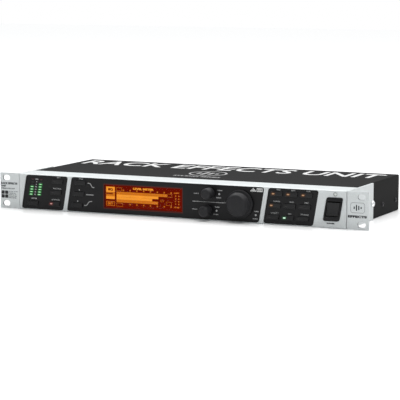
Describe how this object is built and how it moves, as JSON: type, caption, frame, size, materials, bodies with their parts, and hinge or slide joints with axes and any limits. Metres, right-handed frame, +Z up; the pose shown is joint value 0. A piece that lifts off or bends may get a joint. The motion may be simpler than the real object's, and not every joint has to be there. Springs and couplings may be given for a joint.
{
  "type": "rack effects unit",
  "caption": "One-unit 19-inch rack effects unit: slanted control windows, amber display, jog wheel, keys, level meter and rear sockets.",
  "frame": {"origin": "the middle of the case's underside, under the centre of the case's depth without knobs and rear sockets", "axes": "+X to the right seen from the front, +Y to the back, +Z up"},
  "size_m": [0.4826, 0.2117, 0.044],
  "materials": {
    "silver_panel": "satin silver paint on sheet metal",
    "black_paint": "fine-textured black powder coat",
    "bright_screw": "bright zinc plating",
    "bezel": "semi-gloss black with printed marks",
    "keycap": "fine matt moulding",
    "knob": "satin moulding",
    "steel": "plain",
    "lens": "clear amber window",
    "display": "backlit panel",
    "meter_light": "diffusing lens",
    "lamp": "clear lens",
    "circuit_board": "solder mask",
    "winding": "taped winding",
    "connector": "moulded black",
    "nickel": "nickel plating"
  },
  "bodies": {
    "chassis": {"front_fascia": "silver_panel", "left_rack_ear": "silver_panel", "right_rack_ear": "silver_panel", "left_ear_screw": "bright_screw", "right_ear_screw": "bright_screw", "top_cover": "black_paint", "bottom_tray": "black_paint", "rear_panel": "black_paint", "meter_bezel": "bezel", "display_bezel": "bezel", "keypad_bezel": "bezel", "lcd_lens": "lens", "lcd_module": "display", "left_meter_bar": "meter_light", "right_meter_bar": "meter_light", "upper_encoder": "steel", "lower_encoder": "steel", "wheel_encoder": "steel", "power_switch_frame": "bezel", "power_lamp": "lamp", "control_board": "circuit_board", "main_board": "circuit_board", "power_supply_board": "circuit_board", "power_transformer": "winding", "input_socket_left": "connector", "input_socket_right": "connector", "output_plug_left": "connector", "output_plug_right": "connector", "mic_socket": "connector", "digital_input_socket": "connector", "digital_output_plug": "connector", "jack_block": "connector", "optical_block": "connector", "clock_socket": "nickel", "midi_block": "connector", "mains_inlet": "connector"},
    "meter_key_cap": {"meter_key": "keycap"},
    "level_key_top_cap": {"level_key_top": "keycap"},
    "level_key_middle_cap": {"level_key_middle": "keycap"},
    "level_key_bottom_cap": {"level_key_bottom": "keycap"},
    "page_key_top_cap": {"page_key_top": "keycap"},
    "page_key_middle_cap": {"page_key_middle": "keycap"},
    "page_key_bottom_cap": {"page_key_bottom": "keycap"},
    "keypad_top_left_cap": {"keypad_top_left": "keycap"},
    "keypad_top_middle_cap": {"keypad_top_middle": "keycap"},
    "keypad_top_right_cap": {"keypad_top_right": "keycap"},
    "keypad_middle_left_cap": {"keypad_middle_left": "keycap"},
    "keypad_middle_middle_cap": {"keypad_middle_middle": "keycap"},
    "keypad_middle_right_cap": {"keypad_middle_right": "keycap"},
    "keypad_bottom_left_cap": {"keypad_bottom_left": "keycap"},
    "keypad_bottom_middle_cap": {"keypad_bottom_middle": "keycap"},
    "keypad_bottom_right_cap": {"keypad_bottom_right": "keycap"},
    "upper_push": {"upper_shaft": "steel"},
    "upper_turn": {"upper_knob": "knob"},
    "lower_push": {"lower_shaft": "steel"},
    "lower_turn": {"lower_knob": "knob"},
    "wheel_push": {"wheel_shaft": "steel"},
    "wheel_turn": {"jog_wheel": "knob"},
    "rocker": {"power_rocker": "keycap"}
  },
  "joints": [
    {"name": "meter_key_press", "type": "slide", "parent": "chassis", "child": "meter_key_cap", "axis": [0, 1, 0], "range_m": [0, 0.0005], "stiffness_N_per_m": 500, "springref_m": -0.0005},
    {"name": "level_key_top_press", "type": "slide", "parent": "chassis", "child": "level_key_top_cap", "axis": [0, 1, 0], "range_m": [0, 0.0005], "stiffness_N_per_m": 500, "springref_m": -0.0005},
    {"name": "level_key_middle_press", "type": "slide", "parent": "chassis", "child": "level_key_middle_cap", "axis": [0, 1, 0], "range_m": [0, 0.0005], "stiffness_N_per_m": 500, "springref_m": -0.0005},
    {"name": "level_key_bottom_press", "type": "slide", "parent": "chassis", "child": "level_key_bottom_cap", "axis": [0, 1, 0], "range_m": [0, 0.0005], "stiffness_N_per_m": 500, "springref_m": -0.0005},
    {"name": "page_key_top_press", "type": "slide", "parent": "chassis", "child": "page_key_top_cap", "axis": [0, 1, 0], "range_m": [0, 0.0005], "stiffness_N_per_m": 500, "springref_m": -0.0005},
    {"name": "page_key_middle_press", "type": "slide", "parent": "chassis", "child": "page_key_middle_cap", "axis": [0, 1, 0], "range_m": [0, 0.0005], "stiffness_N_per_m": 500, "springref_m": -0.0005},
    {"name": "page_key_bottom_press", "type": "slide", "parent": "chassis", "child": "page_key_bottom_cap", "axis": [0, 1, 0], "range_m": [0, 0.0005], "stiffness_N_per_m": 500, "springref_m": -0.0005},
    {"name": "keypad_top_left_press", "type": "slide", "parent": "chassis", "child": "keypad_top_left_cap", "axis": [0, 1, 0], "range_m": [0, 0.0005], "stiffness_N_per_m": 500, "springref_m": -0.0005},
    {"name": "keypad_top_middle_press", "type": "slide", "parent": "chassis", "child": "keypad_top_middle_cap", "axis": [0, 1, 0], "range_m": [0, 0.0005], "stiffness_N_per_m": 500, "springref_m": -0.0005},
    {"name": "keypad_top_right_press", "type": "slide", "parent": "chassis", "child": "keypad_top_right_cap", "axis": [0, 1, 0], "range_m": [0, 0.0005], "stiffness_N_per_m": 500, "springref_m": -0.0005},
    {"name": "keypad_middle_left_press", "type": "slide", "parent": "chassis", "child": "keypad_middle_left_cap", "axis": [0, 1, 0], "range_m": [0, 0.0005], "stiffness_N_per_m": 500, "springref_m": -0.0005},
    {"name": "keypad_middle_middle_press", "type": "slide", "parent": "chassis", "child": "keypad_middle_middle_cap", "axis": [0, 1, 0], "range_m": [0, 0.0005], "stiffness_N_per_m": 500, "springref_m": -0.0005},
    {"name": "keypad_middle_right_press", "type": "slide", "parent": "chassis", "child": "keypad_middle_right_cap", "axis": [0, 1, 0], "range_m": [0, 0.0005], "stiffness_N_per_m": 500, "springref_m": -0.0005},
    {"name": "keypad_bottom_left_press", "type": "slide", "parent": "chassis", "child": "keypad_bottom_left_cap", "axis": [0, 1, 0], "range_m": [0, 0.0005], "stiffness_N_per_m": 500, "springref_m": -0.0005},
    {"name": "keypad_bottom_middle_press", "type": "slide", "parent": "chassis", "child": "keypad_bottom_middle_cap", "axis": [0, 1, 0], "range_m": [0, 0.0005], "stiffness_N_per_m": 500, "springref_m": -0.0005},
    {"name": "keypad_bottom_right_press", "type": "slide", "parent": "chassis", "child": "keypad_bottom_right_cap", "axis": [0, 1, 0], "range_m": [0, 0.0005], "stiffness_N_per_m": 500, "springref_m": -0.0005},
    {"name": "upper_knob_push", "type": "slide", "parent": "chassis", "child": "upper_push", "axis": [0, 1, 0], "range_m": [0, 0.0005], "stiffness_N_per_m": 800, "springref_m": -0.0005},
    {"name": "upper_knob_turn", "type": "hinge", "parent": "upper_push", "child": "upper_turn", "pos_m": [0.0433, -0.09485, 0.033], "axis": [0, -1, 0], "continuous": true},
    {"name": "lower_knob_push", "type": "slide", "parent": "chassis", "child": "lower_push", "axis": [0, 1, 0], "range_m": [0, 0.0005], "stiffness_N_per_m": 800, "springref_m": -0.0005},
    {"name": "lower_knob_turn", "type": "hinge", "parent": "lower_push", "child": "lower_turn", "pos_m": [0.0404, -0.09485, 0.012], "axis": [0, -1, 0], "continuous": true},
    {"name": "jog_wheel_push", "type": "slide", "parent": "chassis", "child": "wheel_push", "axis": [0, 1, 0], "range_m": [0, 0.0005], "stiffness_N_per_m": 800, "springref_m": -0.0005},
    {"name": "jog_wheel_turn", "type": "hinge", "parent": "wheel_push", "child": "wheel_turn", "pos_m": [0.082, -0.09485, 0.022], "axis": [0, -1, 0], "continuous": true},
    {"name": "power_rocker_tilt", "type": "hinge", "parent": "chassis", "child": "rocker", "pos_m": [0.19775, -0.09175, 0.0224], "axis": [-1, 0, 0], "range_deg": [0, 12]}
  ]
}
